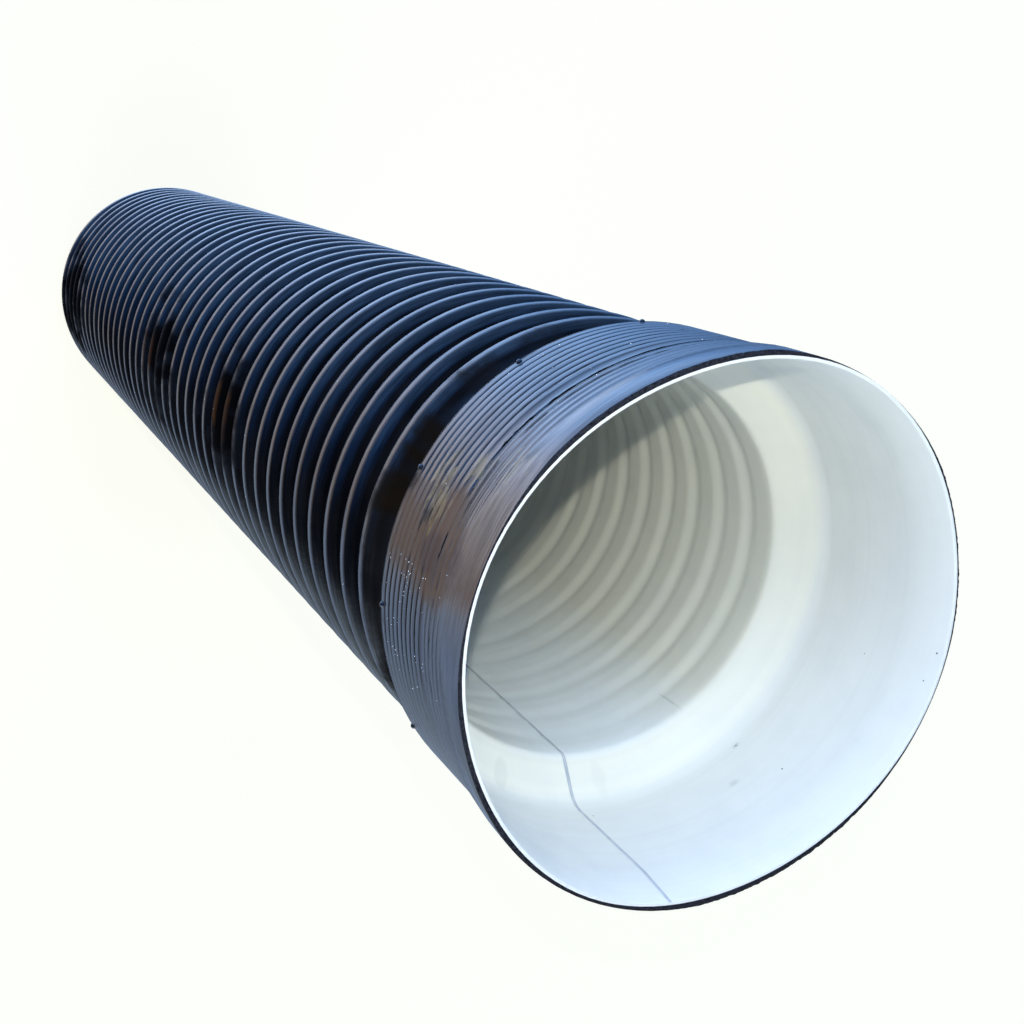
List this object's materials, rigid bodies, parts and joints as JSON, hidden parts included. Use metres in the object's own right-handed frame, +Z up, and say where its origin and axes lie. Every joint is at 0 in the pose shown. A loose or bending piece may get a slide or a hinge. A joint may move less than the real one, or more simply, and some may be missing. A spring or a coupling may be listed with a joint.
{
  "type": "corrugated plastic pipe",
  "caption": "Twin-wall corrugated drain pipe: black ring-corrugated outer wall, white liner with a smooth bore, and a belled socket at one end that takes the next pipe's end.",
  "frame": {"origin": "on the floor, in the middle of the sawn end that the pipe stands on", "axes": "+Z up along the pipe's axis, out of the socket's mouth"},
  "size_m": [0.6628, 0.6628, 2.9736],
  "materials": {
    "black_polyethylene": "satin, weathered",
    "white_polyethylene": "satin"
  },
  "bodies": {
    "root": {"outer_wall": "black_polyethylene", "inner_liner": "white_polyethylene"}
  },
  "joints": []
}
